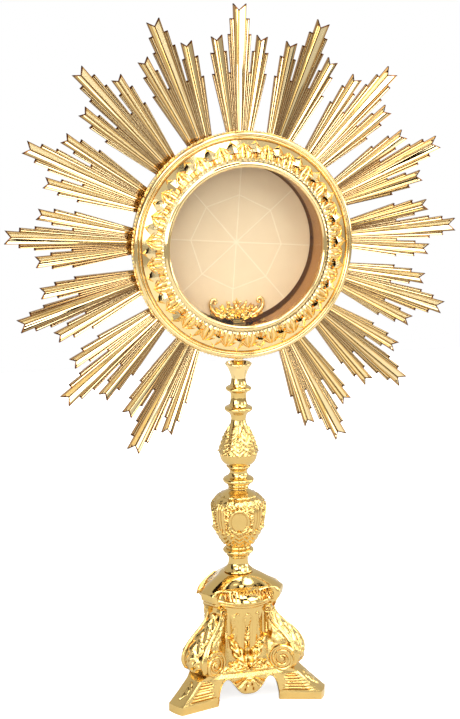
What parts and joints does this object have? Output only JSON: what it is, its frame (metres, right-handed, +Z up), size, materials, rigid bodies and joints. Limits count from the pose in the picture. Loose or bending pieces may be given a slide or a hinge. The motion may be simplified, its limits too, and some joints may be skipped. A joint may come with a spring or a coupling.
{
  "type": "monstrance",
  "caption": "Standing monstrance: a sunburst of stepped rays round a glazed case, turned knopped stem and scrolled tripod base; back door, catch and lunette move.",
  "frame": {"origin": "centre of the bounding box on the surface the feet stand on; the stem axis stands 17.9 mm in front of it", "axes": "+Z up the stem, the glazed front faces -Y, +X to the right as seen from the front"},
  "size_m": [0.4426, 0.1402, 0.6688],
  "materials": {
    "gilt_brass": "polished gold plate on cast and pressed brass, darker in the recesses",
    "steel": "plain turned steel, inside the foot and the hinge",
    "clear_glass": "clear flat glass with a faint green edge",
    "wafer": "matte cream wafer with faint scored lines"
  },
  "bodies": {
    "stand": {"base_casting": "gilt_brass", "base_cap": "gilt_brass", "base_washer": "steel", "base_nut": "steel", "tie_rod": "steel", "stem_foot": "gilt_brass", "lower_ring": "gilt_brass", "lower_knop": "gilt_brass", "middle_collar": "gilt_brass", "upper_knop": "gilt_brass", "upper_spindle": "gilt_brass", "socket_cup": "gilt_brass", "case_tenon": "gilt_brass", "case_drum": "gilt_brass", "front_bezel": "gilt_brass", "leaf_border": "gilt_brass", "front_glass": "clear_glass", "glory_ring": "gilt_brass", "ray_cluster_01": "gilt_brass", "ray_cluster_02": "gilt_brass", "ray_cluster_03": "gilt_brass", "ray_cluster_04": "gilt_brass", "ray_cluster_05": "gilt_brass", "ray_cluster_06": "gilt_brass", "ray_cluster_07": "gilt_brass", "ray_cluster_08": "gilt_brass", "ray_cluster_09": "gilt_brass", "ray_cluster_10": "gilt_brass", "ray_cluster_11": "gilt_brass", "ray_cluster_12": "gilt_brass", "ray_cluster_13": "gilt_brass", "ray_cluster_14": "gilt_brass", "ray_cluster_15": "gilt_brass", "hinge_leaf_case": "gilt_brass", "hinge_pin": "steel", "lunette_rail": "gilt_brass"},
    "door": {"door_ring": "gilt_brass", "door_glass": "clear_glass", "door_glass_ring": "gilt_brass", "hinge_leaf_door": "gilt_brass"},
    "knob": {"door_knob": "gilt_brass", "door_catch": "gilt_brass"},
    "lunette": {"lunette_front": "gilt_brass", "lunette_back": "gilt_brass", "lunette_runner": "gilt_brass", "host": "wafer"}
  },
  "joints": [
    {"name": "door_hinge", "type": "hinge", "parent": "stand", "child": "door", "pos_m": [-0.085, 0.01111, 0.4475], "axis": [0, 0, 1], "range_deg": [0, 110]},
    {"name": "door_knob_turn", "type": "hinge", "parent": "door", "child": "knob", "pos_m": [0.0714, 0.01211, 0.4475], "axis": [0, 1, 0], "range_deg": [0, 90]},
    {"name": "lunette_slide", "type": "slide", "parent": "stand", "child": "lunette", "axis": [0, 1, 0], "range_m": [0, 0.012]}
  ]
}
